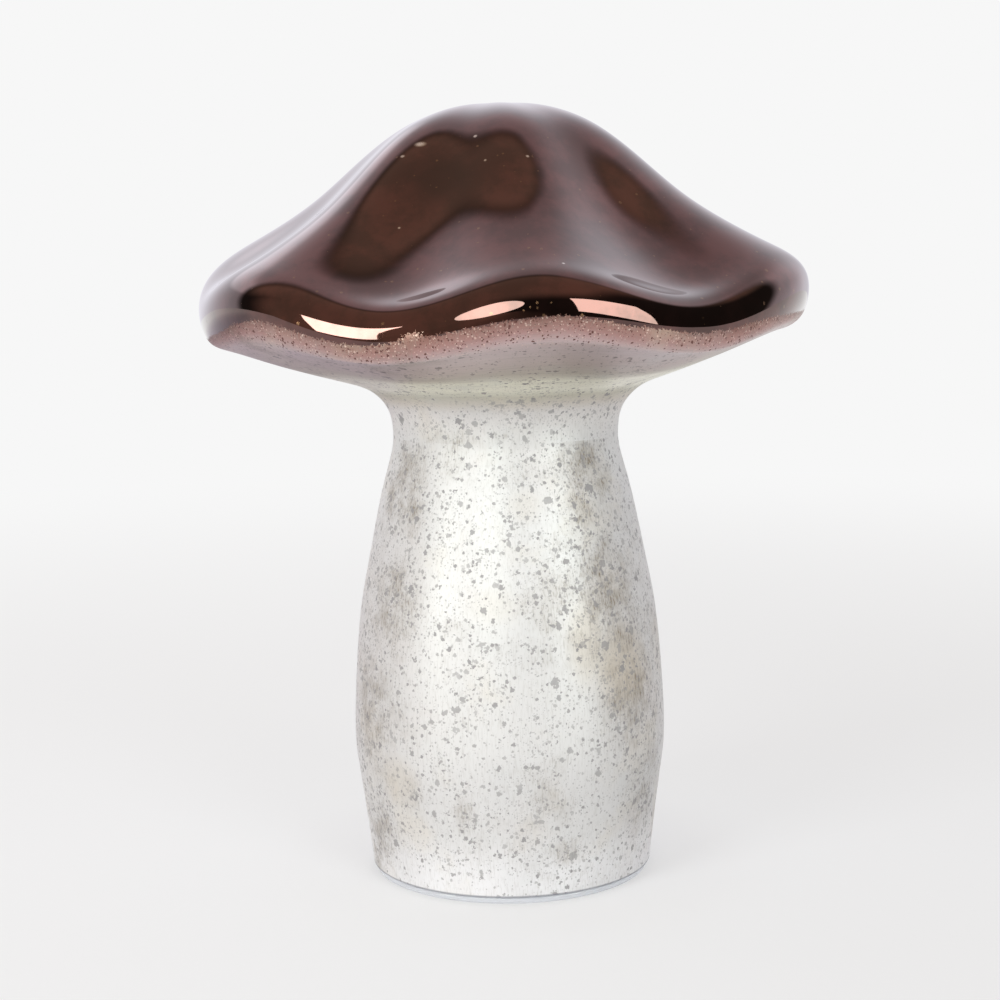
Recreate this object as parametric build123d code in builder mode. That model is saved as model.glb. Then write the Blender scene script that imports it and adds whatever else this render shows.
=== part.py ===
from build123d import *
import os
from math import cos, hypot, radians, sin, tan

# A mushroom ornament of blown glass. A bronze-plated cap with a wavy, lobed brim
# stands on a silver-plated stem that swells to a belly and narrows at the throat.
# Cap and stem are two hollow bubbles. The top of the stem is drawn in to a spigot,
# which stands in the collar of the cap and is held by a ring of clear adhesive.
# The ground foot of the stem is closed by a clear glass disc.
# Millimetres, +Z up. The origin is on the table, under the middle of the foot,
# and the front faces -Y. A bearing is an angle from the front towards +X.

# Overall sizes: the cap's height is measured from the throat, where it joins the stem
throat_height = 115.0
cap_height = 85.0
throat_radius = 29.4
belly_height = 41.0
belly_radius = 41.0
foot_radius = 37.0
wall = 3.0
arris = 0.4

# Brim of the cap, over the throat: highest and widest on a crest, lowest in a trough
crest_brim_radius = 78.7
crest_brim_rise = 38.0
trough_brim_radius = 76.2
trough_brim_rise = 32.3

# Round flare that joins the throat to the lobed underside
flare_reach = 7.6
flare_rise = 13.2

# Lobes: how many, and where the first crest stands
lobes = 6
first_crest_bearing = radians(9.1)

# How uneven the blown form is: one side is fuller, the brim is a little oval, and twice
# round it the crests drift apart and the lobes grow stronger
fuller_side_bearing = radians(-118)
fuller_side_share = 0.306
oval_bearing = radians(-7)
oval_share = 0.328
drift_bearing = radians(-15)
drift_angle = radians(3.7)
stronger_bearing = radians(23.5)
stronger_share = 0.28

# The cap sits a little askew: it leans towards -X from just above the throat
lean_angle = radians(1.3)
lean_start_rise = 7.0
lean_run = 18.0

# Neck joint: the bond fills the seat, and nearly fills the gap round the spigot
bond_gap = 0.3
spigot_gap = 0.5
spigot_height = 7.0
spigot_wall = 2.6
spigot_root = 9.0
bond_climb = 4.0
bond_clearance = 0.15

# Foot disc and its bond
disc_radius = 36.2
disc_thickness = 1.5
foot_bond_thickness = 0.4
foot_bond_setback = 0.5

# Outlines of the cap as shares, from the crown down to the throat
crown_radius_shares = (0.05, 0.155, 0.305, 0.455, 0.6, 0.745, 0.87, 0.952, 1)
crest_crown_shares = (0.998, 0.979, 0.887, 0.701, 0.487, 0.321, 0.204, 0.124, 0)
trough_crown_shares = (0.998, 0.977, 0.882, 0.676, 0.445, 0.271, 0.153, 0.097, 0)
under_radius_shares = (0.963, 0.812, 0.535, 0.212)
crest_under_shares = (0.662, 0.494, 0.315, 0.121)
trough_under_shares = (0.603, 0.516, 0.315, 0.136)
flare_radius_shares = (1, 0.395, 0.08, 0)
flare_height_shares = (1, 0.742, 0.417, 0)

# Outline of the stem as shares: radius from throat to belly, height along the stretch
lower_stem_shares = ((0.45, 0.39), (0.825, 0.673))
upper_stem_shares = ((0.853, 0.338), (0.62, 0.554), (0.34, 0.768), (0.108, 0.909))

ring_points = 36
wall_points = 12


def lobe_share(bearing):
    """Share of the crest outline at a bearing, about 1 on a crest and 0 in a trough."""
    drift = drift_angle * cos(2 * (bearing - drift_bearing))
    strength = 1 + stronger_share * cos(2 * (bearing - stronger_bearing))
    wave = (1 + strength * cos(lobes * (bearing - first_crest_bearing + drift))) / 2
    fuller = fuller_side_share * cos(bearing - fuller_side_bearing)
    oval = oval_share * cos(2 * (bearing - oval_bearing))
    return wave + fuller - oval


def outline(brim_radius, brim_rise, crown_shares, under_shares):
    """Radii and heights of the cap on one bearing, from the apex down to the throat."""
    flare_radius = throat_radius + flare_reach
    points = [(0, throat_height + cap_height)]
    for radius_share, height_share in zip(crown_radius_shares, crown_shares):
        rise = brim_rise + height_share * (cap_height - brim_rise)
        points.append((radius_share * brim_radius, throat_height + rise))
    for radius_share, height_share in zip(under_radius_shares, under_shares):
        radius = flare_radius + radius_share * (brim_radius - flare_radius)
        rise = flare_rise + height_share * (brim_rise - flare_rise)
        points.append((radius, throat_height + rise))
    for radius_share, height_share in zip(flare_radius_shares, flare_height_shares):
        radius = throat_radius + radius_share * flare_reach
        points.append((radius, throat_height + height_share * flare_rise))
    return points


def blended_outline(bearing):
    """The cap's outline on a bearing, between the crest and the trough outline."""
    crest = outline(crest_brim_radius, crest_brim_rise, crest_crown_shares, crest_under_shares)
    trough = outline(trough_brim_radius, trough_brim_rise, trough_crown_shares, trough_under_shares)
    share = lobe_share(bearing)
    return [
        (low[0] + share * (high[0] - low[0]), low[1] + share * (high[1] - low[1]))
        for high, low in zip(crest, trough)
    ]


def inset(points, depth):
    """The same outline moved inwards by a depth, square to its own run."""
    moved = [(0, points[0][1] - depth)]
    for before, here, after in zip(points, points[1:], points[2:]):
        run = after[0] - before[0]
        rise = after[1] - before[1]
        length = hypot(run, rise)
        moved.append((here[0] + depth * rise / length, here[1] - depth * run / length))
    moved.append((points[-1][0] - depth, points[-1][1]))
    return moved


def leaned(radius, height, bearing):
    """A point of the cap, with the lean that comes in above the throat."""
    lean_start = throat_height + lean_start_rise
    share = min(max((height - lean_start) / lean_run, 0), 1)
    tilt = tan(lean_angle) * share * share * (3 - 2 * share)
    side = radius * sin(bearing)
    shift = tilt * (height - lean_start - lean_run)
    return (side - shift, -radius * cos(bearing), height + tilt * side)


def lobed_solid(depth):
    """The solid inside the cap's surface, or inside a surface that lies deeper by a depth."""
    bearings = [radians(360 * step / ring_points) for step in range(ring_points)]
    outlines = [inset(blended_outline(b), depth) if depth else blended_outline(b) for b in bearings]
    sections = [Vertex(*leaned(*outlines[0][0], 0))]
    for level in range(1, len(outlines[0])):
        points = [leaned(*line[level], b) for line, b in zip(outlines, bearings)]
        sections.append(Wire([Edge.make_spline(points, periodic=True)]))
    return Solid.make_loft(sections)


# Cap: a lobed bubble, open at the ground rim of its collar
with BuildPart() as cap_shell:
    add(lobed_solid(0))
    add(lobed_solid(wall), mode=Mode.SUBTRACT)
cap_shell.part.label = "cap_shell"

# Stem: one turned profile with a spigot at the top and a ground rim at the foot
seam_height = throat_height - bond_gap
foot_height = disc_thickness + foot_bond_thickness
spigot_radius = throat_radius - wall - spigot_gap
spigot_bore = spigot_radius - spigot_wall

belly_reach = belly_radius - throat_radius
foot_reach = belly_radius - foot_radius
stem_points = [(foot_radius, foot_height)]
for radius_share, height_share in lower_stem_shares:
    rise = height_share * (belly_height - foot_height)
    stem_points.append((foot_radius + radius_share * foot_reach, foot_height + rise))
stem_points.append((belly_radius, belly_height))
for radius_share, height_share in upper_stem_shares:
    rise = height_share * (seam_height - belly_height)
    stem_points.append((throat_radius + radius_share * belly_reach, belly_height + rise))
stem_points.append((throat_radius, seam_height))

with BuildPart() as stem_shell:
    with BuildSketch(Plane.XZ) as stem_profile:
        with BuildLine():
            outside = Spline(*stem_points, tangents=((foot_reach, belly_height), (0, 1)))
            inside_points = []
            for step in range(wall_points):
                share = step / (wall_points - 1)
                place = outside @ share
                run = outside % share
                if place.Y < seam_height - spigot_root:
                    inside_points.append((place.X - wall * run.Y, place.Y + wall * run.X))
            inside_points[0] = (inside_points[0][0], foot_height)
            inside_points.append((spigot_bore, seam_height))
            inside = Spline(*inside_points, tangents=((foot_reach, belly_height), (0, 1)))
            Polyline(
                outside @ 1,
                (spigot_radius, seam_height),
                (spigot_radius, seam_height + spigot_height),
                (spigot_bore, seam_height + spigot_height),
                inside @ 1,
            )
            Line(inside @ 0, outside @ 0)
        make_face()
    revolve(axis=Axis.Z)
    chamfer(stem_shell.edges().group_by(Axis.Z)[-1], arris)
    foot_edges = stem_shell.edges().group_by(Axis.Z)[0].sort_by(SortBy.LENGTH)
    fillet(foot_edges[-1], arris)
stem_shell.part.label = "stem_shell"

# Neck bond: clear adhesive on the stem's shoulder and up the gap round the spigot
with BuildPart() as neck_bond:
    with BuildSketch(Plane.XY.offset(seam_height)):
        Circle(throat_radius)
        Circle(spigot_radius, mode=Mode.SUBTRACT)
    extrude(amount=bond_gap)
    with BuildSketch(Plane.XY.offset(throat_height)):
        Circle(spigot_radius + spigot_gap - bond_clearance)
        Circle(spigot_radius, mode=Mode.SUBTRACT)
    extrude(amount=bond_climb)
neck_bond.part.label = "neck_bond"

# Foot bond: a thin ring of clear adhesive under the foot's rim
with BuildPart() as foot_bond:
    with BuildSketch(Plane.XY.offset(disc_thickness)):
        Circle(disc_radius - foot_bond_setback)
        Circle(foot_radius - wall + foot_bond_setback, mode=Mode.SUBTRACT)
    extrude(amount=foot_bond_thickness)
foot_bond.part.label = "foot_bond"

# Foot disc: clear glass with softened edges
with BuildPart() as foot_disc:
    with BuildSketch(Plane.XY):
        Circle(disc_radius)
    extrude(amount=disc_thickness)
    chamfer(foot_disc.edges(), arris)
foot_disc.part.label = "foot_disc"

os.makedirs("parts", exist_ok=True)
for piece in (cap_shell, stem_shell, neck_bond, foot_bond, foot_disc):
    export_step(piece.part, "parts/" + piece.part.label + ".step")
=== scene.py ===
# %% [markdown]
# # A blown glass mushroom with a wavy, mirror-like cap
# The ornament is plated glass. The cap carries a glossy bronze mirror that breaks up into a fine
# spatter on its underside, and the stem carries a satin silver with etched specks and tarnish.
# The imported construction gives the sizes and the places. Here every piece gets a smooth mesh,
# because a mirror shows each facet, and a finish worked out from procedural patterns.

# %% Load the frame
import math

import bpy
import numpy as np
from mathutils import Matrix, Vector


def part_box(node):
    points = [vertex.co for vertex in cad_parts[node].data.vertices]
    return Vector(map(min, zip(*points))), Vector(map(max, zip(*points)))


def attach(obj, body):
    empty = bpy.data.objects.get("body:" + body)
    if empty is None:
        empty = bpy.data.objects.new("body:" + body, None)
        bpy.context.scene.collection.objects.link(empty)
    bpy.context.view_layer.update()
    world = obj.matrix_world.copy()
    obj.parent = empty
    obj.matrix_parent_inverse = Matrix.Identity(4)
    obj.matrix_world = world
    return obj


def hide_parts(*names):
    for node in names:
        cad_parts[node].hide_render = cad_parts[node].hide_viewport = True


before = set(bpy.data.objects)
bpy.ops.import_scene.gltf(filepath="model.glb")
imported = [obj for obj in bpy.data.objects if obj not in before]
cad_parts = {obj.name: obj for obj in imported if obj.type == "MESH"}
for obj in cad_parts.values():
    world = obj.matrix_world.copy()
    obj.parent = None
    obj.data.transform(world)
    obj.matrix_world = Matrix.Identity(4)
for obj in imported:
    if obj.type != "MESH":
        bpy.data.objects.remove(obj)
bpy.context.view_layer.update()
MM = 0.001
print("nodes in the frame:", sorted(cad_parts))

# %% [markdown]
# ## Sizes
# The heights and radii that the construction settles are read from the boxes of its nodes.
# What a box can't tell, such as the shares along an outline, is repeated from the drawing:
# a share is a part of a size, so the outlines follow the boxes.

# %% Read the sizes from the frame
cap_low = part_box("cap_shell")[0]
stem_low, stem_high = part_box("stem_shell")
bond_low, bond_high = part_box("neck_bond")
foot_bond_low, foot_bond_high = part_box("foot_bond")
disc_low, disc_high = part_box("foot_disc")

throat_height = cap_low[2]
throat_radius = (bond_high[0] - bond_low[0]) / 2
seam_height = bond_low[2]
belly_radius = (stem_high[0] - stem_low[0]) / 2
foot_height = stem_low[2]
spigot_top = stem_high[2]
disc_radius = (disc_high[0] - disc_low[0]) / 2
disc_thickness = disc_high[2] - disc_low[2]
print("throat", round(throat_radius / MM, 2), "mm and belly", round(belly_radius / MM, 2), "mm in radius")

# %% Sizes repeated from the drawing
cap_height = 85.0 * MM
belly_height = 41.0 * MM
foot_radius = 37.0 * MM
wall = 3.0 * MM
print("foot", round(foot_radius / MM, 2), "mm in radius, glass", round(wall / MM, 2), "mm thick")

# %% [markdown]
# ## Small helpers for node trees
# Geometry and shader trees are both built from nodes and links. One helper makes a node, sets its
# options and fills or links its inputs, and a few short ones stand for the nodes that come up
# again and again, so that each tree below reads as a list of steps.

# %% The helper that makes a node
def add_node(tree, kind, inputs=None, **options):
    """Makes a node, sets its options, and fills or links the inputs that are named."""
    made = tree.nodes.new(kind)
    for name, value in options.items():
        setattr(made, name, value)
    for name, value in (inputs or {}).items():
        if isinstance(value, bpy.types.NodeSocket):
            tree.links.new(value, made.inputs[name])
        else:
            made.inputs[name].default_value = value
    return made


def new_group(name, kind, inputs, outputs):
    """An empty node group with named sockets, and its input and output nodes."""
    tree = bpy.data.node_groups.new(name, kind)
    for socket_name, socket_kind, default in inputs:
        socket = tree.interface.new_socket(socket_name, in_out="INPUT", socket_type=socket_kind)
        if default is not None:
            socket.default_value = default
    for socket_name, socket_kind in outputs:
        tree.interface.new_socket(socket_name, in_out="OUTPUT", socket_type=socket_kind)
    return tree, tree.nodes.new("NodeGroupInput").outputs, tree.nodes.new("NodeGroupOutput").inputs


def place_group(tree, group, inputs):
    """A node group placed in a tree with values of its own, and what it puts out."""
    return add_node(tree, "ShaderNodeGroup", inputs, node_tree=group).outputs


print("helpers for nodes and groups: add_node, new_group, place_group")


# %% Helpers for numbers
def calc(tree, operation, *values, clamp=False):
    """A math node. Its result goes on to the next step."""
    made = add_node(tree, "ShaderNodeMath", dict(enumerate(values)), operation=operation)
    made.use_clamp = clamp
    return made.outputs[0]


def plus(tree, first, second):
    return calc(tree, "ADD", first, second)


def minus(tree, first, second):
    return calc(tree, "SUBTRACT", first, second)


def times(tree, first, second):
    return calc(tree, "MULTIPLY", first, second)


def larger(tree, first, second):
    return calc(tree, "MAXIMUM", first, second)


# Below, a named tuple of two or four numbers holds a ramp's low and high, and its start and end
def ramp(tree, value, low, high, start=0.0, end=1.0, eased=True):
    """The share of the way from low to high, read out between start and end."""
    return add_node(
        tree, "ShaderNodeMapRange",
        {"Value": value, "From Min": low, "From Max": high, "To Min": start, "To Max": end},
        interpolation_type="SMOOTHSTEP" if eased else "LINEAR",
    ).outputs[0]


print("helpers for numbers: calc, plus, minus, times, larger, ramp")


# %% Helpers for places, colours and patterns
# The sockets of a mix node by kind: below, above, result
MIX_SOCKETS = {"RGBA": (6, 7, 2), "VECTOR": (4, 5, 1), "FLOAT": (2, 3, 0)}


def mix(tree, factor, below, above, kind="RGBA", **options):
    """A mix node: all of the first colour or number at 0, all of the second at 1."""
    low, high, result = MIX_SOCKETS[kind]
    inputs = {0: factor, low: below, high: above}
    return add_node(tree, "ShaderNodeMix", inputs, data_type=kind, **options).outputs[result]


def split(tree, vector):
    """The x, y and z of a vector."""
    return tuple(add_node(tree, "ShaderNodeSeparateXYZ", {0: vector}).outputs)


def join(tree, x, y, z):
    """A vector from its x, y and z."""
    return add_node(tree, "ShaderNodeCombineXYZ", {0: x, 1: y, 2: z}).outputs[0]


def vector_calc(tree, operation, *values, **named):
    """A vector math node."""
    inputs = dict(enumerate(values))
    inputs.update(named)
    return add_node(tree, "ShaderNodeVectorMath", inputs, operation=operation).outputs[0]


def length(tree, vector):
    return add_node(tree, "ShaderNodeVectorMath", {0: vector}, operation="LENGTH").outputs["Value"]


def noise(tree, vector, per_metre, detail=2.0, roughness=0.5):
    """A soft random pattern about 0.5, as a number and as a colour."""
    inputs = {"Vector": vector, "Scale": per_metre, "Detail": detail, "Roughness": roughness}
    made = add_node(tree, "ShaderNodeTexNoise", inputs)
    return made.outputs["Fac"], made.outputs["Color"]


def object_place(tree):
    """Object coordinates, which stay put on a piece from every side."""
    return add_node(tree, "ShaderNodeTexCoord").outputs["Object"]


print("helpers for places, colours and patterns: mix, split, join, vector_calc, length, noise")

# %% [markdown]
# ## The outlines
# A blown, lobed cap has two outlines: one over a crest of the brim and one through a trough.
# Each is a smooth curve through a few chosen points, from the crown to the throat. A cubic curve
# through the points keeps its bend continuous, and a mirror needs that: a jump in the bend shows
# as a kink in every reflection.


# %% A smooth curve through chosen points
def smooth_curve(points, count, level_start=False):
    """Samples of a cubic curve through the points. Its end is upright, its start can be level."""
    # One equation a point says that the bend runs on there, and together they give the slopes
    points = np.array(points, float)
    last = len(points) - 1
    slopes = np.zeros_like(points)
    for axis in (0, 1):
        matrix = np.zeros((last + 1, last + 1))
        right = np.zeros(last + 1)
        for row in range(1, last):
            matrix[row, row - 1:row + 2] = (1, 4, 1)
            right[row] = 3 * (points[row + 1, axis] - points[row - 1, axis])
        matrix[0, :2] = (2, 1)
        right[0] = 3 * (points[1, axis] - points[0, axis])
        if axis == 1 and level_start:
            matrix[0, :2] = (1, 0)
            right[0] = 0
        matrix[last, last - 1:] = (1, 2)
        right[last] = 3 * (points[last, axis] - points[last - 1, axis])
        if axis == 0:
            matrix[last, last - 1:] = (0, 1)
            right[last] = 0
        slopes[:, axis] = np.linalg.solve(matrix, right)
    samples = []
    for place in np.linspace(0, last, count):
        start = min(int(place), last - 1)
        t = place - start
        samples.append(
            (2 * t**3 - 3 * t**2 + 1) * points[start]
            + (t**3 - 2 * t**2 + t) * slopes[start]
            + (3 * t**2 - 2 * t**3) * points[start + 1]
            + (t**3 - t**2) * slopes[start + 1]
        )
    return np.array(samples)


print("a straight line has", len(smooth_curve([(0, 0), (1, 1)], 3)), "samples when it is asked for 3")

# %% The section of a blown wall
# The inside is never seen, so it takes only one level in four
INSIDE_STEP = 4


def walled(curve, depth):
    """The curve, then back along its inside at a depth: the section of a blown wall."""
    run = np.gradient(curve, axis=0)
    run /= np.linalg.norm(run, axis=1)[:, None]
    inside = curve + depth * np.column_stack((run[:, 1], -run[:, 0]))
    inside[0] = (0, curve[0, 1] - depth)
    inside[-1] = (curve[-1, 0] - depth, curve[-1, 1])
    return np.vstack((curve, inside[::-INSIDE_STEP]))


print("the inside of a wall takes one level in", INSIDE_STEP)

# %% The cap's two outlines
crest_brim_radius = 78.7 * MM
crest_brim_rise = 38.0 * MM
trough_brim_radius = 76.2 * MM
trough_brim_rise = 32.3 * MM
flare_reach = 7.6 * MM
flare_rise = 13.2 * MM

crown_radius_shares = (0.05, 0.155, 0.305, 0.455, 0.6, 0.745, 0.87, 0.952, 1)
crest_crown_shares = (0.998, 0.979, 0.887, 0.701, 0.487, 0.321, 0.204, 0.124, 0)
trough_crown_shares = (0.998, 0.977, 0.882, 0.676, 0.445, 0.271, 0.153, 0.097, 0)
under_radius_shares = (0.963, 0.812, 0.535, 0.212)
crest_under_shares = (0.662, 0.494, 0.315, 0.121)
trough_under_shares = (0.603, 0.516, 0.315, 0.136)
flare_radius_shares = (1, 0.395, 0.08, 0)
flare_height_shares = (1, 0.742, 0.417, 0)


def cap_outline(brim_radius, brim_rise, crown_shares, under_shares):
    """Radii and heights of the cap on one bearing, from the apex down to the throat."""
    flare_radius = throat_radius + flare_reach
    points = [(0, throat_height + cap_height)]
    for radius_share, height_share in zip(crown_radius_shares, crown_shares):
        rise = brim_rise + height_share * (cap_height - brim_rise)
        points.append((radius_share * brim_radius, throat_height + rise))
    for radius_share, height_share in zip(under_radius_shares, under_shares):
        radius = flare_radius + radius_share * (brim_radius - flare_radius)
        rise = flare_rise + height_share * (brim_rise - flare_rise)
        points.append((radius, throat_height + rise))
    for radius_share, height_share in zip(flare_radius_shares, flare_height_shares):
        radius = throat_radius + radius_share * flare_reach
        points.append((radius, throat_height + height_share * flare_rise))
    return points


CAP_LEVELS = 201
crest_points = cap_outline(crest_brim_radius, crest_brim_rise, crest_crown_shares, crest_under_shares)
trough_points = cap_outline(trough_brim_radius, trough_brim_rise, trough_crown_shares, trough_under_shares)
crest_curve = walled(smooth_curve(crest_points, CAP_LEVELS, level_start=True), wall)
trough_curve = walled(smooth_curve(trough_points, CAP_LEVELS, level_start=True), wall)
print("cap outlines:", len(crest_points), "chosen points,", CAP_LEVELS, "levels")

# %% The stem's outline
lower_stem_shares = ((0.45, 0.39), (0.825, 0.673))
upper_stem_shares = ((0.853, 0.338), (0.62, 0.554), (0.34, 0.768), (0.108, 0.909))
STEM_LEVELS = 160

stem_points = [(foot_radius, foot_height)]
for radius_share, height_share in lower_stem_shares:
    radius = foot_radius + radius_share * (belly_radius - foot_radius)
    stem_points.append((radius, foot_height + height_share * (belly_height - foot_height)))
stem_points.append((belly_radius, belly_height))
for radius_share, height_share in upper_stem_shares:
    radius = throat_radius + radius_share * (belly_radius - throat_radius)
    stem_points.append((radius, belly_height + height_share * (seam_height - belly_height)))
stem_points.append((throat_radius, seam_height))
stem_outside = smooth_curve(stem_points, STEM_LEVELS)
print("stem outline:", len(stem_points), "chosen points,", STEM_LEVELS, "levels")

# %% [markdown]
# ## One tree that turns an outline into a shell
# Every piece of this ornament is turned round one axis, and the cap also waves between two
# outlines. So a single Geometry Nodes tree serves all pieces: a flat grid is rolled up, its
# columns become bearings and its rows become levels, and each point is blended between the crest
# and the trough outline by a wave with six lobes. Setting the wave aside gives a plain turned
# piece. The share along the outline is stored on the mesh, so that a finish can follow the brim.

# %% The named inputs of the shell tree
SHARE_ATTRIBUTE = "outline_share"
SHELL_OBJECTS = ("Crest Outline", "Trough Outline")
SHELL_COUNTS = {"Bearings": 300, "Levels": 100, "Outside Levels": 100}
SHELL_NUMBERS = {
    "Lobes": 6.0,
    "Wave Share": 0.0,
    "First Crest": 0.0,
    "Drift Bearing": 0.0,
    "Drift Angle": 0.0,
    "Stronger Bearing": 0.0,
    "Stronger Share": 0.0,
    "Fuller Side": 0.0,
    "Fuller Share": 0.0,
    "Oval Bearing": 0.0,
    "Oval Share": 0.0,
    "Lean Slope": 0.0,
    "Lean Start": 0.0,
    "Lean Run": 1.0,
    "Merge Distance": 0.01 * MM,
    "Corner Angle": 0.6,
}
shell_inputs = [(name, "NodeSocketObject", None) for name in SHELL_OBJECTS]
shell_inputs += [(name, "NodeSocketInt", value) for name, value in SHELL_COUNTS.items()]
shell_inputs += [(name, "NodeSocketFloat", value) for name, value in SHELL_NUMBERS.items()]
shell_inputs.append(("Finish", "NodeSocketMaterial", None))
print("inputs of the shell tree:", len(shell_inputs))

# %% [markdown]
# ## The wave and the lean
# Blown glass is never even. Three slow swings round the piece make it so: the crests drift apart,
# the lobes grow stronger on two sides, and one side is fuller on a brim that is a little oval.
# The whole cap leans, and the lean eases in above the throat so that the joint stays round.


# %% The parts of the shell tree
def swing(tree, bearing, turns, start):
    """A cosine that runs so many times round, with its first top at the start."""
    return calc(tree, "COSINE", times(tree, turns, minus(tree, bearing, start)))


def wave_share(tree, given, bearing):
    """How far a bearing lies from the trough outline towards the crest outline."""
    drift = times(tree, swing(tree, bearing, 2.0, given["Drift Bearing"]), given["Drift Angle"])
    stronger = times(tree, swing(tree, bearing, 2.0, given["Stronger Bearing"]), given["Stronger Share"])
    ripple = swing(tree, plus(tree, bearing, drift), given["Lobes"], given["First Crest"])
    wave = times(tree, plus(tree, times(tree, ripple, plus(tree, stronger, 1.0)), 1.0), 0.5)
    wave = times(tree, wave, given["Wave Share"])
    fuller = times(tree, swing(tree, bearing, 1.0, given["Fuller Side"]), given["Fuller Share"])
    oval = times(tree, swing(tree, bearing, 2.0, given["Oval Bearing"]), given["Oval Share"])
    return minus(tree, plus(tree, wave, fuller), oval)


def outline_point(tree, outline, level):
    """The point of an outline object that has the level as its index."""
    shape = add_node(tree, "GeometryNodeObjectInfo", {"Object": outline}).outputs["Geometry"]
    here = add_node(tree, "GeometryNodeInputPosition").outputs[0]
    return add_node(
        tree, "GeometryNodeSampleIndex", {"Geometry": shape, "Value": here, "Index": level},
        data_type="FLOAT_VECTOR", domain="POINT",
    ).outputs["Value"]


def leaned_place(tree, given, radius, height, bearing):
    """The place of a point on its bearing, with the lean that comes in above the throat."""
    rise = calc(tree, "DIVIDE", minus(tree, height, given["Lean Start"]), given["Lean Run"])
    tilt = times(tree, ramp(tree, rise, 0.0, 1.0), given["Lean Slope"])
    side = times(tree, radius, calc(tree, "SINE", bearing))
    front = times(tree, times(tree, radius, calc(tree, "COSINE", bearing)), -1.0)
    pivot = plus(tree, given["Lean Start"], given["Lean Run"])
    shift = times(tree, tilt, minus(tree, height, pivot))
    return join(tree, minus(tree, side, shift), front, plus(tree, height, times(tree, tilt, side)))


print("parts of the tree: wave_share, outline_point, leaned_place")


# %% The shell tree
def build_shell_tree():
    """Rolls a grid up round the Z axis, between two outlines, and leans what lies high."""
    tree, given, result = new_group(
        "turned_shell", "GeometryNodeTree", shell_inputs, [("Shell", "NodeSocketGeometry")]
    )
    columns = plus(tree, given["Bearings"], 1.0)
    grid = add_node(
        tree, "GeometryNodeMeshGrid",
        {"Size X": 1.0, "Size Y": 1.0, "Vertices X": columns, "Vertices Y": given["Levels"]},
    )
    across, down, _ = split(tree, add_node(tree, "GeometryNodeInputPosition").outputs[0])
    bearing = times(tree, plus(tree, across, 0.5), math.tau)
    last_level = minus(tree, given["Levels"], 1.0)
    level = calc(tree, "ROUND", times(tree, minus(tree, 0.5, down), last_level))
    blended = mix(
        tree, wave_share(tree, given, bearing),
        outline_point(tree, given["Trough Outline"], level),
        outline_point(tree, given["Crest Outline"], level),
        kind="VECTOR", clamp_factor=False,
    )
    radius, _, height = split(tree, blended)
    outside_share = calc(tree, "DIVIDE", level, minus(tree, given["Outside Levels"], 1.0))
    shaped = add_node(
        tree, "GeometryNodeStoreNamedAttribute",
        {"Geometry": grid.outputs["Mesh"], "Name": SHARE_ATTRIBUTE, "Value": outside_share},
        data_type="FLOAT", domain="POINT",
    )
    place = leaned_place(tree, given, radius, height, bearing)
    rolled = add_node(
        tree, "GeometryNodeSetPosition", {"Geometry": shaped.outputs[0], "Position": place}
    )
    closed = add_node(
        tree, "GeometryNodeMergeByDistance",
        {"Geometry": rolled.outputs[0], "Distance": given["Merge Distance"]},
    )
    smooth = add_node(
        tree, "GeometryNodeSetShadeSmooth", {"Geometry": closed.outputs[0], "Shade Smooth": True}
    )
    turn = add_node(tree, "GeometryNodeInputMeshEdgeAngle").outputs["Unsigned Angle"]
    corner = add_node(
        tree, "FunctionNodeCompare", {"A": turn, "B": given["Corner Angle"]}, operation="GREATER_THAN"
    ).outputs[0]
    crisp = add_node(
        tree, "GeometryNodeSetShadeSmooth",
        {"Geometry": smooth.outputs[0], "Selection": corner, "Shade Smooth": False},
        domain="EDGE",
    )
    real = add_node(tree, "GeometryNodeRealizeInstances", {"Geometry": crisp.outputs[0]})
    finished = add_node(
        tree, "GeometryNodeSetMaterial", {"Geometry": real.outputs[0], "Material": given["Finish"]}
    )
    tree.links.new(finished.outputs[0], result["Shell"])
    return tree


shell_tree = build_shell_tree()
print("shell tree:", len(shell_tree.nodes), "nodes")

# %% [markdown]
# ## Running the tree
# The outlines go in as two small helper objects. A modifier's inputs are set by identifier, the
# result is read back as a plain mesh, and the helpers go away. Signed volume tells whether the
# faces point outwards, and the mesh is flipped if they don't.

# %% Make a piece from its outlines
BEARINGS = 300


def outline_object(name, samples):
    """A chain of points in the XZ plane, which the tree reads by index."""
    mesh = bpy.data.meshes.new(name)
    chain = [(index, index + 1) for index in range(len(samples) - 1)]
    mesh.from_pydata([(radius, 0, height) for radius, height in samples], chain, [])
    made = bpy.data.objects.new(name, mesh)
    bpy.context.collection.objects.link(made)
    return made


def signed_volume(mesh):
    """Volume between the faces and the origin, positive when they face outwards."""
    mesh.calc_loop_triangles()
    points = np.array([vertex.co for vertex in mesh.vertices])
    corners = np.array([triangle.vertices for triangle in mesh.loop_triangles])
    first, second, third = points[corners[:, 0]], points[corners[:, 1]], points[corners[:, 2]]
    return float(np.einsum("ij,ij->i", first, np.cross(second, third)).sum() / 6)


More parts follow.
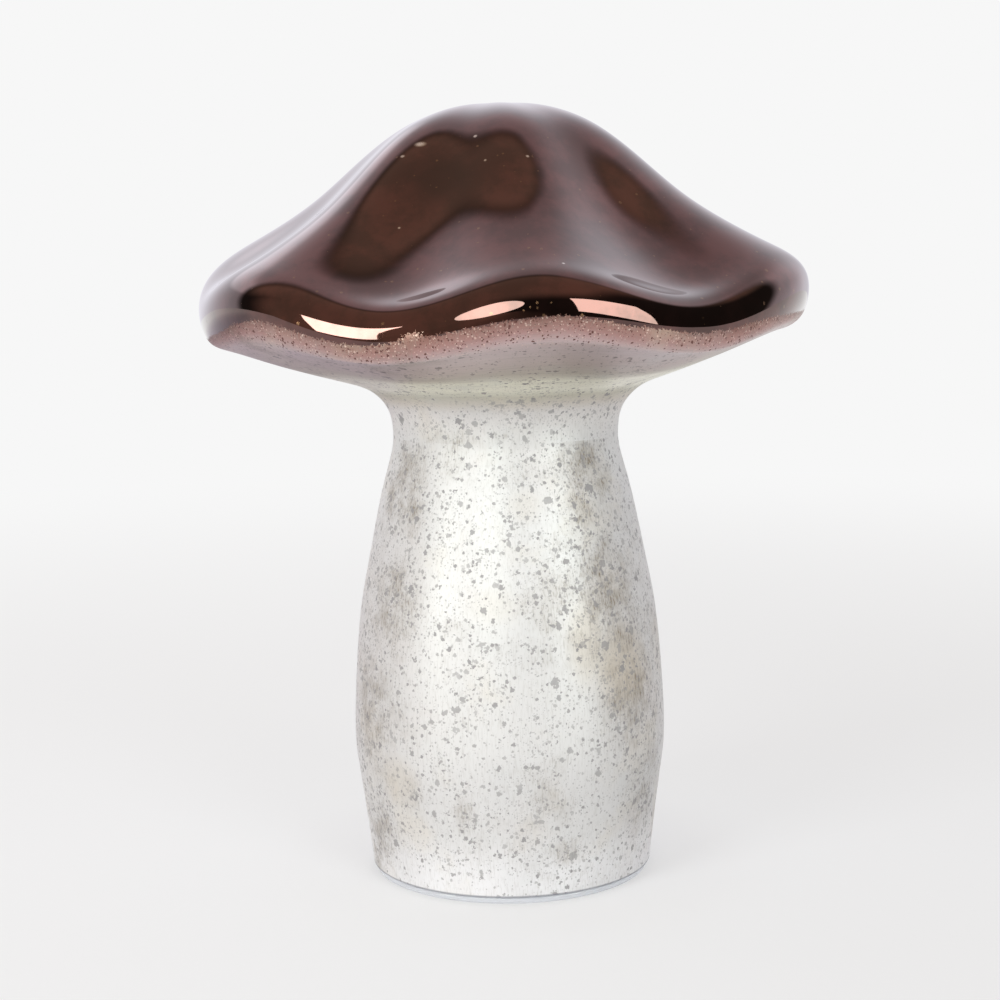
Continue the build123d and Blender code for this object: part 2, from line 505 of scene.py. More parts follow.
def turned_piece(name, finish, crest, trough=None, bearings=BEARINGS, **settings):
    """A piece turned from its outline, or blended between a crest and a trough outline."""
    helpers = [outline_object(name + "_crest", crest)]
    helpers.append(outline_object(name + "_trough", crest if trough is None else trough))
    carrier = bpy.data.objects.new(name + "_carrier", bpy.data.meshes.new(name + "_carrier"))
    bpy.context.collection.objects.link(carrier)
    modifier = carrier.modifiers.new("shell", "NODES")
    modifier.node_group = shell_tree
    values = {
        "Crest Outline": helpers[0],
        "Trough Outline": helpers[1],
        "Bearings": bearings,
        "Levels": len(crest),
        "Outside Levels": len(crest),
        "Finish": finish,
        **settings,
    }
    identifiers = {
        item.name: item.identifier
        for item in shell_tree.interface.items_tree
        if item.item_type == "SOCKET" and item.in_out == "INPUT"
    }
    for socket_name, value in values.items():
        modifier[identifiers[socket_name]] = value
    evaluated = carrier.evaluated_get(bpy.context.evaluated_depsgraph_get())
    mesh = bpy.data.meshes.new_from_object(evaluated)
    mesh.name = name
    if signed_volume(mesh) < 0:
        mesh.flip_normals()
    piece = bpy.data.objects.new(name, mesh)
    bpy.context.collection.objects.link(piece)
    for helper in helpers + [carrier]:
        bpy.data.objects.remove(helper)
    print(name, len(mesh.vertices), "points,", len(mesh.polygons), "faces")
    return piece


print("a piece has", BEARINGS, "bearings unless it is asked for fewer")

# %% [markdown]
# ## Etched specks
# Acid eats small pits into the silver. The pattern is a field of cells, a Voronoi pattern, each
# with its own radius and depth, read through a noise that ruffles the pits' edges, because acid
# eats unevenly. It is a node group, because stem, underside and spray all use it.

# %% The group of etched specks
SPECK_INPUTS = [
    ("Vector", "NodeSocketVector", None),
    ("Cells per Metre", "NodeSocketFloat", 400.0),
    ("Coverage", "NodeSocketFloat", 0.3),
    ("Largest Radius", "NodeSocketFloat", 0.35),
    ("Ruffle", "NodeSocketFloat", 0.3),
    ("Softness", "NodeSocketFloat", 0.04),
]
RUFFLES_PER_CELL = 2.3
SMALLEST_SHARE = 0.25


def build_specks():
    tree, given, result = new_group(
        "etched_specks", "ShaderNodeTree", SPECK_INPUTS,
        [("Mask", "NodeSocketFloat"), ("Tone", "NodeSocketFloat")],
    )
    here = given["Vector"]
    per_metre = given["Cells per Metre"]
    ruffles_per_metre = times(tree, per_metre, RUFFLES_PER_CELL)
    _, random_push = noise(tree, here, ruffles_per_metre, roughness=0.6)
    centred = vector_calc(tree, "SUBTRACT", random_push, (0.5, 0.5, 0.5))
    push = vector_calc(tree, "SCALE", centred, Scale=calc(tree, "DIVIDE", given["Ruffle"], per_metre))
    cells = add_node(
        tree, "ShaderNodeTexVoronoi",
        {"Vector": vector_calc(tree, "ADD", here, push), "Scale": per_metre, "Randomness": 1.0},
        voronoi_dimensions="3D", feature="F1",
    )
    draw = add_node(tree, "ShaderNodeSeparateColor", {0: cells.outputs["Color"]}).outputs
    chosen = calc(tree, "LESS_THAN", draw[0], given["Coverage"])
    spread = times(tree, calc(tree, "POWER", draw[1], 2.0), 1 - SMALLEST_SHARE)
    radius = times(tree, plus(tree, spread, SMALLEST_SHARE), given["Largest Radius"])
    edge = minus(tree, radius, cells.outputs["Distance"])
    soft = calc(tree, "DIVIDE", edge, given["Softness"], clamp=True)
    tree.links.new(times(tree, soft, chosen), result["Mask"])
    tree.links.new(draw[2], result["Tone"])
    return tree


specks = build_specks()
print("speck group:", len(specks.nodes), "nodes")


def speck_field(tree, vector, per_metre, coverage, radius, ruffle):
    """Specks of one size, from the shared group."""
    inputs = {
        "Vector": vector, "Cells per Metre": per_metre, "Coverage": coverage,
        "Largest Radius": radius, "Ruffle": ruffle,
    }
    return place_group(tree, specks, inputs)


# %% [markdown]
# ## The antiqued silver
# Silver that has been antiqued is near white with a satin sheen. Grey specks of four sizes pit
# it, faint warm and cool clouds tint it, and dark tarnish lies in drifts that are crossed by fine
# brush marks. The group puts out colour, roughness and relief, so the stem and the cap share it.

# %% Tones and scales of the silver
CLEAN_SILVER = (0.71, 0.715, 0.71, 1)
SPECK_TONE = (0.31, 0.305, 0.31, 1)
TAN_TONE = (0.58, 0.49, 0.34, 1)
STREAK_TONE = (0.38, 0.37, 0.34, 1)
TARNISH_TONE = (0.21, 0.165, 0.11, 1)

# Each layer of specks: cells per metre, share of cells with a speck, largest radius, ruffle, depth
SPECK_LAYERS = (
    (290.0, 0.46, 0.38, 1.1, 1.0),
    (520.0, 0.60, 0.44, 0.9, 1.0),
    (900.0, 0.62, 0.48, 0.7, 1.0),
    (1700.0, 0.62, 0.52, 0.5, 0.55),
)
SPECK_DEPTH = (0.0, 1.0, 0.5, 1.0)
CROWDS_PER_METRE = 75.0
CROWDING = (0.3, 0.7, 0.3, 1.7)
WEAR_AND_SHADE_CROWDING = 2.4

# Each cloud: per metre, detail, the noise at which it starts and is full, and a place of its own
CLOUDS = {
    "warm": (46.0, 4.0, 0.5, 0.72, (0.3, 0.1, 0.7)),
    "rosy": (40.0, 3.0, 0.52, 0.75, (2.3, 0.9, 1.2)),
    "cool": (30.0, 4.0, 0.5, 0.78, (1.3, 0.5, 0.2)),
    "drift": (42.0, 5.0, 0.52, 0.74, (0.9, 2.1, 0.4)),
    "blotch": (150.0, 4.0, 0.35, 0.7, (1.7, 0.2, 0.6)),
}
CLOUD_ROUGHNESS = 0.62
CLOUD_TINTS = (
    ("warm", 0.24, (0.72, 0.65, 0.51, 1)),
    ("rosy", 0.14, (0.70, 0.62, 0.60, 1)),
    ("cool", 0.4, (0.58, 0.60, 0.60, 1)),
)
BRUSH_MARKS_PER_METRE = (2400.0, 2400.0, 330.0)
STREAKS = (0.5, 0.72)
STREAK_STRENGTH = 0.28
STREAK_RELIEF = 0.08
PIT_STRENGTH = 0.9
SATIN_ROUGHNESS = 0.45
EATEN_ROUGHNESS = 0.2

# A number that grows along a straight line: how steeply, and where from
BLOTCHED = (1.1, 0.25)
STREAKED = (0.6, 0.4)
print("silver:", len(SPECK_LAYERS), "sizes of specks,", len(CLOUDS), "kinds of cloud")


# %% Specks and clouds of the silver
def silver_pits(tree, given):
    """How deep each point lies in a speck, from all sizes of specks."""
    crowd, _ = noise(tree, given["Vector"], CROWDS_PER_METRE)
    crowding = ramp(tree, crowd, *CROWDING, eased=False)
    crowding = plus(tree, crowding, times(tree, given["Wear and Shade Place"], WEAR_AND_SHADE_CROWDING))
    pits = None
    for per_metre, coverage, radius, ruffle, strength in SPECK_LAYERS:
        amount = times(tree, given["Speck Amount"], times(tree, crowding, coverage))
        layer = speck_field(tree, given["Vector"], per_metre, amount, radius, ruffle)
        depth = ramp(tree, layer["Tone"], *SPECK_DEPTH, eased=False)
        mask = times(tree, times(tree, layer["Mask"], depth), strength)
        pits = mask if pits is None else larger(tree, pits, mask)
    return pits


def cloud(tree, vector, name):
    """One of the soft clouds."""
    per_metre, detail, low, high, offset = CLOUDS[name]
    shifted = vector_calc(tree, "ADD", vector, offset)
    pattern, _ = noise(tree, shifted, per_metre, detail, CLOUD_ROUGHNESS)
    return ramp(tree, pattern, low, high)


print("clouds:", ", ".join(CLOUDS))

# %% The silver group
SILVER_INPUTS = [
    ("Vector", "NodeSocketVector", None),
    ("Speck Amount", "NodeSocketFloat", 1.0),
    ("Tarnish Amount", "NodeSocketFloat", 1.0),
    ("Wear and Shade Place", "NodeSocketFloat", 0.0),
    ("Tan Place", "NodeSocketFloat", 0.0),
    ("Clean Color", "NodeSocketColor", CLEAN_SILVER),
    ("Speck Color", "NodeSocketColor", SPECK_TONE),
]


def build_silver():
    tree, given, result = new_group(
        "antiqued_silver", "ShaderNodeTree", SILVER_INPUTS,
        [("Color", "NodeSocketColor"), ("Roughness", "NodeSocketFloat"), ("Height", "NodeSocketFloat")],
    )
    here = given["Vector"]
    pits = silver_pits(tree, given)
    brushed = add_node(tree, "ShaderNodeMapping", {"Vector": here, "Scale": BRUSH_MARKS_PER_METRE})
    strokes, _ = noise(tree, brushed.outputs[0], 1.0, roughness=0.7)
    streak = ramp(tree, strokes, *STREAKS, eased=False)
    drift = times(tree, cloud(tree, here, "drift"), given["Tarnish Amount"])
    blotched = calc(tree, "MULTIPLY_ADD", cloud(tree, here, "blotch"), *BLOTCHED)
    # At the given places the tarnish is stronger; on the stem's sides this is also painted shade
    worn_and_shaded = larger(tree, drift, times(tree, given["Wear and Shade Place"], blotched))
    streaked = calc(tree, "MULTIPLY_ADD", streak, *STREAKED)
    tarnish = calc(tree, "MULTIPLY", worn_and_shaded, streaked, clamp=True)

    color = given["Clean Color"]
    for name, strength, tone in CLOUD_TINTS:
        color = mix(tree, times(tree, cloud(tree, here, name), strength), color, tone)
    color = mix(tree, given["Tan Place"], color, TAN_TONE)
    color = mix(tree, times(tree, streak, STREAK_STRENGTH), color, STREAK_TONE)
    color = mix(tree, tarnish, color, TARNISH_TONE)
    color = mix(tree, times(tree, pits, PIT_STRENGTH), color, given["Speck Color"])
    tree.links.new(color, result["Color"])

    rough = calc(tree, "MULTIPLY_ADD", pits, EATEN_ROUGHNESS, SATIN_ROUGHNESS)
    rough = calc(tree, "MULTIPLY_ADD", tarnish, EATEN_ROUGHNESS, rough)
    tree.links.new(rough, result["Roughness"])
    tree.links.new(minus(tree, times(tree, streak, STREAK_RELIEF), pits), result["Height"])
    return tree


silver = build_silver()
print("silver group:", len(silver.nodes), "nodes")

# %% [markdown]
# ## Marks at chosen places
# Tarnish gathers where hands and cloths don't reach, and chips fall where they fall. Some places are
# painted light and shade instead: darker sides of the stem, a lighter crown and dark reflections on the
# cap. A random pattern can't put them there, so a third group makes a soft round place on the surface, and
# a table says where the places are: on the stem by bearing and height, on the cap by x, y and z.

# %% The group of soft places
PLACE_INPUTS = [
    ("Vector", "NodeSocketVector", None),
    ("Centre", "NodeSocketVector", None),
    ("Width", "NodeSocketFloat", 0.01),
    ("Height", "NodeSocketFloat", 0.01),
]
FULL_SHARE = 0.25


def build_place():
    """A soft round place on the surface, wider or taller as asked."""
    tree, given, result = new_group(
        "soft_place", "ShaderNodeTree", PLACE_INPUTS, [("Mask", "NodeSocketFloat")]
    )
    away = vector_calc(tree, "SUBTRACT", given["Vector"], given["Centre"])
    size = join(tree, given["Width"], given["Width"], given["Height"])
    reach = length(tree, vector_calc(tree, "DIVIDE", away, size))
    tree.links.new(ramp(tree, reach, FULL_SHARE, 1.0, 1.0, 0.0), result["Mask"])
    return tree


soft_place = build_place()
print("place group:", len(soft_place.nodes), "nodes")


def marks_mask(tree, here, marks):
    """The strongest of several places, in millimetres: x, y, z, width, height, and strength."""
    total = None
    for x, y, z, width, tall, strength in marks:
        inputs = {
            "Vector": here, "Centre": (x * MM, y * MM, z * MM), "Width": width * MM, "Height": tall * MM,
        }
        mask = times(tree, place_group(tree, soft_place, inputs)["Mask"], strength)
        total = mask if total is None else larger(tree, total, mask)
    return total


def places_mask(tree, here, places):
    """The strongest of several places on the stem, by bearing and height."""
    marks = []
    for bearing, height, width, tall, strength in places:
        radius = float(np.interp(height * MM, stem_outside[:, 1], stem_outside[:, 0])) / MM
        turn = math.radians(bearing)
        marks.append((radius * math.sin(turn), -radius * math.cos(turn), height, width, tall, strength))
    return marks_mask(tree, here, marks)


# %% Where the stem is worn, shaded and tanned
# Bearing in degrees from the front, height, width, height of the place, and how strong it is
# The places on both sides of the stem, and most of all the four tall bands at the end, are partly tarnish
# and partly painted shade that darkens the sides of the satin silver
worn_and_shaded_places = (
    (-56, 104, 12, 18, 0.90), (-46, 97, 7, 9, 0.85), (-50, 74, 13, 20, 0.90), (-60, 45, 14, 24, 0.80),
    (-62, 14, 12, 15, 0.75), (-70, 5, 9, 12, 0.70), (42, 108, 12, 14, 1.0), (34, 99, 8, 8, 0.85),
    (42, 76, 14, 26, 0.95), (50, 53, 16, 26, 0.85), (60, 26, 13, 20, 0.60), (-17, 24, 4, 8, 0.70),
    (21, 13, 7, 5, 0.45), (-38, 27, 6, 9, 0.30), (-20, 70, 7, 4, 0.20), (8, 108, 9, 5, 0.25),
    (150, 80, 14, 20, 0.60), (-150, 40, 13, 18, 0.60), (110, 30, 12, 14, 0.50), (-110, 95, 12, 14, 0.60),
    (100, 85, 12, 20, 0.55), (-95, 30, 11, 18, 0.50), (180, 22, 14, 12, 0.40),
    (-60, 62, 17, 70, 0.32), (60, 62, 17, 70, 0.30), (130, 62, 17, 70, 0.30), (-130, 62, 17, 70, 0.30),
)
tan_places = (
    (45, 59, 13, 15, 0.42), (30, 66, 8, 16, 0.30), (-5, 76, 10, 6, 0.12), (8, 100, 6, 6, 0.15),
    (-44, 30, 9, 9, 0.25), (180, 55, 18, 16, 0.45), (-100, 60, 12, 12, 0.35),
)
print("worn places:", len(worn_and_shaded_places), "and tan places:", len(tan_places))

# %% [markdown]
# ## The silver of the stem
# A material keeps its own shader. The silver one reads the group with Object coordinates, which stay put
# on the piece from every side. Satin plating scatters most of the light, so only a small part of it is
# metal. Towards the foot the silver is cleaner and paler, and at the foot's rim a thin dark line is
# painted shade of the groove above the disc.

# %% The stem's material
SILVER_METAL = 0.12
SILVER_SPECULAR = 0.2
STEM_TARNISH = 0.5
FOOT_SILVER = (0.86, 0.87, 0.88, 1)
FOOT_GROOVE_SHADE_TONE = (0.17, 0.18, 0.22, 1)
STEM_RELIEF = 0.04 * MM

# Ramps by height: the change to the paler silver, how many specks, and the painted shade line at the
# foot's rim
FOOT_SILVER_SPAN = (4.0 * MM, 20.0 * MM)
FOOT_SPECKS = (3.0 * MM, 12.0 * MM, 0.3, 1.0)
FOOT_GROOVE_SHADE = (1.95 * MM, 2.5 * MM, 0.75, 0.0)


def new_material(name):
    """A material with its shader, ready for a finish."""
    material = bpy.data.materials.new(name)
    material.use_nodes = True
    tree = material.node_tree
    return material, tree, tree.nodes["Principled BSDF"]


def add_relief(tree, shader, height, distance):
    """Turns a height into a tilt of the surface."""
    bump = add_node(tree, "ShaderNodeBump", {"Height": height, "Distance": distance, "Strength": 1.0})
    tree.links.new(bump.outputs[0], shader.inputs["Normal"])
    return bump.outputs[0]


def silver_material():
    material, tree, shader = new_material("antique_silver")
    here = object_place(tree)
    _, _, height = split(tree, here)
    inputs = {
        "Vector": here,
        # Tarnish, and painted shade on the sides of the stem
        "Wear and Shade Place": places_mask(tree, here, worn_and_shaded_places),
        "Tan Place": places_mask(tree, here, tan_places),
        "Tarnish Amount": STEM_TARNISH,
        "Speck Amount": ramp(tree, height, *FOOT_SPECKS),
        "Clean Color": mix(tree, ramp(tree, height, *FOOT_SILVER_SPAN), FOOT_SILVER, CLEAN_SILVER),
    }
    finish = place_group(tree, silver, inputs)
    # A thin dark line at the foot's rim: painted shade of the groove above the disc
    color = mix(tree, ramp(tree, height, *FOOT_GROOVE_SHADE), finish["Color"], FOOT_GROOVE_SHADE_TONE)
    tree.links.new(color, shader.inputs["Base Color"])
    tree.links.new(finish["Roughness"], shader.inputs["Roughness"])
    shader.inputs["Metallic"].default_value = SILVER_METAL
    shader.inputs["Specular IOR Level"].default_value = SILVER_SPECULAR
    add_relief(tree, shader, finish["Height"], STEM_RELIEF)
    print("silver material:", len(tree.nodes), "nodes")
    return material


stem_silver = silver_material()

# %% [markdown]
# ## The bronze mirror of the cap
# The bronze is a thin, dark mirror under a clear gloss. It covers the top and the brim. Below the
# brim it was sprayed, so it breaks up: first a dense pinkish stipple, then single dots, then the
# bare silver. The share along the outline says how far a point lies from the crown, and the
# stipple compares a fine random pattern with that share, which gives a spray's own edge.

# %% Where the spray ends, and the marks on the cap
SPRAY_START_SHARE = 0.556
SPRAY_END_SHARE = 0.65
SPRAY_EDGE = 0.006
COLLAR_SHARE = 0.9
SPRAY_WANDERS_PER_METRE = 45.0
SPRAY_WANDER = 0.022
SPRAY_GRAINS_PER_METRE = 1700.0
SPRAY_GRAIN = (0.3, 0.7)
GRAIN_CONTRAST = 4.0
EDGE_PUSH = 2.0

# A ramp by the distance from the middle: the spray ends higher at both sides of the brim
SIDE_SHIFT = (56 * MM, 76 * MM, 0.0, 0.03)

# Each mark in millimetres: x, y, z, width, height, and how strong it is
climbing_spray = ((-22, -72.4, 145.3, 8, 4, 0.012),)
flake_crowds = ((9, -77.4, 151, 8, 5, 0.6), (3, -35, 183, 9, 7, 0.35), (-24, -33, 176, 9, 9, 0.3))
# A lighter patch over the top of the crown: painted sheen that brightens the reflection along the top rim
crown_sheen = ((2, 18, 198, 52, 18, 0.45),)
# Two dark marks on the front of the crown: painted reflection of the dark room, a darker patch and its
# dark edge
painted_dark_reflections = ((-14, -33, 179.5, 13, 11, 0.85), (9, -38, 181, 3, 9, 0.5))
chips = (
    (-19.8, -23.4, 188.5, 2.0, 0.9, 1.0), (-6.3, -27.2, 190.0, 0.7, 0.7, 1.0),
    (6.2, -34.8, 184.6, 0.6, 0.6, 0.9), (-24.2, -25.1, 185.6, 0.8, 0.6, 0.9),
    (-24.5, -40.9, 167.9, 0.5, 0.5, 0.9), (13.5, -67.9, 159.1, 0.5, 0.5, 0.9),
    (-3.9, -34.8, 183.8, 0.5, 0.5, 0.8),
)
print("the bronze ends at", SPRAY_START_SHARE, "of the outline, the spray at", SPRAY_END_SHARE)


# %% The edge of the spray
def spray_place(tree, here, share):
    """The share along the outline, moved where the spray wanders, climbs or ends higher."""
    wander, _ = noise(tree, here, SPRAY_WANDERS_PER_METRE, detail=3.0)
    spot = plus(tree, share, times(tree, minus(tree, wander, 0.5), SPRAY_WANDER))
    spot = plus(tree, spot, marks_mask(tree, here, climbing_spray))
    sideways = calc(tree, "ABSOLUTE", split(tree, here)[0])
    return minus(tree, spot, ramp(tree, sideways, *SIDE_SHIFT))


def spray_mask(tree, here, spot):
    """Nought on the bronze and one beyond it, with a grainy edge between."""
    grain, _ = noise(tree, here, SPRAY_GRAINS_PER_METRE, roughness=0.7)
    level = ramp(tree, grain, *SPRAY_GRAIN, eased=False)
    edge = ramp(tree, spot, SPRAY_START_SHARE - SPRAY_EDGE, SPRAY_START_SHARE + SPRAY_EDGE, eased=False)
    grainy = times(tree, minus(tree, edge, level), GRAIN_CONTRAST)
    return calc(tree, "ADD", grainy, times(tree, edge, EDGE_PUSH), clamp=True)


print("the spray's edge is", round(2 * SPRAY_EDGE, 3), "of the outline wide")

# %% The bronze itself
THICK_BRONZE = (0.072, 0.028, 0.022, 1)
THIN_BRONZE = (0.128, 0.047, 0.039, 1)
CROWN_SHEEN_TONE = (0.36, 0.32, 0.35, 1)
DARK_REFLECTION_TONE = (0.042, 0.018, 0.014, 1)
FLAKE_TONE = (0.21, 0.12, 0.065, 1)
CHIP_TONE = (0.80, 0.76, 0.70, 1)
BRONZE_CLOUDS_PER_METRE = 75.0
BRONZE_CLOUDS = (0.38, 0.62)
FLAKES_PER_METRE = 700.0
FLAKE_RADIUS = 0.34
FLAKE_RUFFLE = 0.3
FLAKES_ANYWHERE = 0.1
FLAKE_STRENGTH = 0.8


def bronze_tone(tree, here):
    """The colour of the plating with a painted sheen on the crown and painted dark reflections, and how
    strongly a flake or chip breaks it.
    """
    crowds = plus(tree, marks_mask(tree, here, flake_crowds), FLAKES_ANYWHERE)
    flakes = speck_field(tree, here, FLAKES_PER_METRE, crowds, FLAKE_RADIUS, FLAKE_RUFFLE)
    flake = times(tree, flakes["Mask"], FLAKE_STRENGTH)
    clouded, _ = noise(tree, here, BRONZE_CLOUDS_PER_METRE, detail=6.0, roughness=0.65)
    chipped = marks_mask(tree, here, chips)
    bronze = mix(tree, ramp(tree, clouded, *BRONZE_CLOUDS), THICK_BRONZE, THIN_BRONZE)
    # Painted sheen on the crown
    bronze = mix(tree, marks_mask(tree, here, crown_sheen), bronze, CROWN_SHEEN_TONE)
    # Painted reflection: the crown's front darker where it mirrors the dark room
    bronze = mix(tree, marks_mask(tree, here, painted_dark_reflections), bronze, DARK_REFLECTION_TONE)
    bronze = mix(tree, flake, bronze, FLAKE_TONE)
    return mix(tree, chipped, bronze, CHIP_TONE), larger(tree, flake, chipped)


# Crown and cloud here are the painted sheen and the painted dark reflections
print("tones of the bronze: thick, thin, crown, cloud, flake and chip")

# %% [markdown]
# ## The underside of the cap
# Below the brim the plating changes from pink through grey to a pale, greenish silver where the glass
# turns down into the throat. A colour ramp along the outline gives those bands, and the silver group and
# three kinds of spray dots break them up. The ramp also holds painted light: the pink and grey under the
# brim are partly the table reflected in the plating, the flat underside is darkened as painted shade, and
# the pale band where the underside turns into the flare and the darker band below it are painted
# reflections of the table and the stem.

# %% The tones of the underside
# By share along the outline, from the lower edge of the bronze to the throat: the plating's tones, with
# painted reflections and painted shade in them
under_tones_and_reflections = (
    (0.556, (0.25, 0.13, 0.11)), (0.565, (0.37, 0.205, 0.18)), (0.574, (0.44, 0.255, 0.235)),
    (0.588, (0.55, 0.385, 0.375)), (0.605, (0.64, 0.52, 0.52)), (0.630, (0.59, 0.47, 0.48)),
    (0.660, (0.55, 0.45, 0.45)), (0.700, (0.50, 0.41, 0.385)), (0.728, (0.50, 0.44, 0.37)),
    (0.742, (0.65, 0.61, 0.51)), (0.760, (0.92, 0.90, 0.77)), (0.812, (0.94, 0.93, 0.81)),
    (0.835, (0.73, 0.72, 0.61)), (0.850, (0.61, 0.59, 0.49)), (0.880, (0.66, 0.62, 0.55)),
    (0.912, (0.75, 0.735, 0.715)), (0.940, (0.77, 0.76, 0.745)), (0.995, CLEAN_SILVER[:3]),
)
BROWN_SPECK_TONE = (0.13, 0.095, 0.09, 1)
PALE_DOT_TONE = (0.80, 0.62, 0.54, 1)
DARK_DOT_TONE = (0.16, 0.075, 0.065, 1)
RING_TONE = (0.22, 0.18, 0.16, 1)
RINGS_ROUND_PER_METRE = 55.0
RINGS_ALONG = 420.0
RINGS = (0.5, 0.75)
RING_STRENGTH = 0.3
RING_FADE = 0.1

# Spray dots: per metre, share of cells with a dot, largest radius
SPRAY_DOTS = {
    "fine dark": (1500.0, 1.0, 0.48),
    "coarse dark": (800.0, 0.35, 0.36),
    "pale": (1800.0, 0.9, 0.46),
}
PALE_DOT_STRENGTH = 0.6
DOT_RUFFLE = 0.8

# Ramps by the share along the outline: how many specks
SPECKS_BELOW_SPRAY = (0.585, 0.64, 0.0, 0.65)
COLLAR_SPECKS = (0.74, COLLAR_SHARE, 0.0, 0.45)
print("the underside:", len(under_tones_and_reflections), "tones and", len(SPRAY_DOTS), "kinds of dots")


# %% The underside
def tone_bands(tree, value, tones):
    """A colour ramp through tones at the given places."""
    made = add_node(tree, "ShaderNodeValToRGB", {0: value})
    stops = made.color_ramp.elements
    for place, tone in tones[1:]:
        stops.new(place).color = (*tone, 1)
    stops.remove(stops[-1])
    stops[0].color = (*tones[0][1], 1)
    stops[0].position = tones[0][0]
    return made.outputs[0]


def spray_dots(tree, here, thick, per_metre, coverage, radius):
    """Single dots of spray, fewer where the spray thins out."""
    return speck_field(tree, here, per_metre, times(tree, thick, coverage), radius, DOT_RUFFLE)["Mask"]


def faint_rings(tree, here, share):
    """Rings that the spray left as the cap was turned, until the collar starts."""
    x, y, _ = split(tree, here)
    along = join(
        tree, times(tree, x, RINGS_ROUND_PER_METRE), times(tree, y, RINGS_ROUND_PER_METRE),
        times(tree, share, RINGS_ALONG),
    )
    rings, _ = noise(tree, along, 1.0, detail=3.0)
    ringed = times(tree, ramp(tree, rings, *RINGS), RING_STRENGTH)
    return times(tree, ringed, ramp(tree, share, COLLAR_SHARE, COLLAR_SHARE - RING_FADE))


def underside_tone(tree, here, share, spot):
    """The colour and roughness of the silver under the brim, with its painted reflections, rings and dots.
    """
    low_specks = ramp(tree, share, *COLLAR_SPECKS)
    inputs = {
        "Vector": here,
        "Speck Amount": plus(tree, ramp(tree, spot, *SPECKS_BELOW_SPRAY), low_specks),
        "Speck Color": mix(tree, ramp(tree, share, *COLLAR_SPECKS[:2]), BROWN_SPECK_TONE, SPECK_TONE),
        "Clean Color": tone_bands(tree, spot, under_tones_and_reflections),
    }
    finish = place_group(tree, silver, inputs)
    thick = ramp(tree, spot, SPRAY_START_SHARE, SPRAY_END_SHARE, 1.0, 0.0)
    dots = {name: spray_dots(tree, here, thick, *sizes) for name, sizes in SPRAY_DOTS.items()}
    veil = mix(tree, faint_rings(tree, here, share), finish["Color"], RING_TONE)
    veil = mix(tree, times(tree, dots["pale"], PALE_DOT_STRENGTH), veil, PALE_DOT_TONE)
    veil = mix(tree, larger(tree, dots["fine dark"], dots["coarse dark"]), veil, DARK_DOT_TONE)
    return veil, finish["Roughness"]


print("from the bronze down: tone bands, rings, pale dots and dark dots")

# %% The cap's material
MIRROR_ROUGHNESS = 0.03
BROKEN_ROUGHNESS = 0.3
UNDER_ROUGHNESS = 0.36
UNDER_METAL = 0.85
GLOSS_ROUGHNESS = 0.02
GLOSS_IOR = 1.5
COLLAR_SPAN = 0.14
SWELLS_PER_METRE = 170.0
SWELL_RELIEF = 0.01 * MM


def bronze_material():
    material, tree, shader = new_material("bronze_mirror")
    here = object_place(tree)
    share = add_node(tree, "ShaderNodeAttribute", attribute_name=SHARE_ATTRIBUTE).outputs["Fac"]
    spot = spray_place(tree, here, share)
    sprayed = spray_mask(tree, here, spot)
    bronze, broken = bronze_tone(tree, here)
    veil, veil_roughness = underside_tone(tree, here, share, spot)
    tree.links.new(mix(tree, sprayed, bronze, veil), shader.inputs["Base Color"])

    collar = ramp(tree, share, COLLAR_SHARE - COLLAR_SPAN, COLLAR_SHARE)
    under_shine = mix(tree, collar, UNDER_ROUGHNESS, veil_roughness, kind="FLOAT")
    top_shine = calc(tree, "MULTIPLY_ADD", broken, BROKEN_ROUGHNESS, MIRROR_ROUGHNESS)
    tree.links.new(mix(tree, sprayed, top_shine, under_shine, kind="FLOAT"), shader.inputs["Roughness"])
    under_metal = mix(tree, collar, UNDER_METAL, SILVER_METAL, kind="FLOAT")
    tree.links.new(mix(tree, sprayed, 1.0, under_metal, kind="FLOAT"), shader.inputs["Metallic"])
    tree.links.new(minus(tree, 1.0, sprayed), shader.inputs["Coat Weight"])
    shader.inputs["Coat Roughness"].default_value = GLOSS_ROUGHNESS
    shader.inputs["Coat IOR"].default_value = GLOSS_IOR
    swell, _ = noise(tree, here, SWELLS_PER_METRE)
    relief = add_relief(tree, shader, swell, SWELL_RELIEF)
    tree.links.new(relief, shader.inputs["Coat Normal"])
    print("bronze material:", len(tree.nodes), "nodes")
    return material


cap_bronze = bronze_material()

# %% [markdown]
# ## Clear glass and adhesive
# The foot disc is clear glass with a faint blue edge, and the adhesive of the foot is a thin clouded ring
# over it. Its near-black tones are partly the clouded adhesive and partly painted shade in the gap between
# the plating and the disc. Glass could be fully see-through, but a thin edge on a pale table looks
# clouded, so part of it stays opaque.

# %% Clear materials
GLASS_TONE = (0.90, 0.93, 0.98, 1)
GLASS_CLEAR = 0.6
GLASS_IOR = 1.5
GLASS_RIPPLES_PER_METRE = 90.0
GLASS_RELIEF = 0.1 * MM
GLASS_ROUGHNESS = (0.02, 0.08)
ADHESIVE_AND_SHADE_TONES = ((0.10, 0.10, 0.12, 1), (0.18, 0.18, 0.21, 1))
ADHESIVE_CLOUDS_PER_METRE = 400.0
ADHESIVE_ROUGHNESS = (0.2, 0.45)


def glass_material():
    material, tree, shader = new_material("clear_glass")
    ripple, _ = noise(tree, object_place(tree), GLASS_RIPPLES_PER_METRE)
    shader.inputs["Base Color"].default_value = GLASS_TONE
    shader.inputs["Transmission Weight"].default_value = GLASS_CLEAR
    shader.inputs["IOR"].default_value = GLASS_IOR
    rough = ramp(tree, ripple, 0.0, 1.0, *GLASS_ROUGHNESS, eased=False)
    tree.links.new(rough, shader.inputs["Roughness"])
    add_relief(tree, shader, ripple, GLASS_RELIEF)
    return material


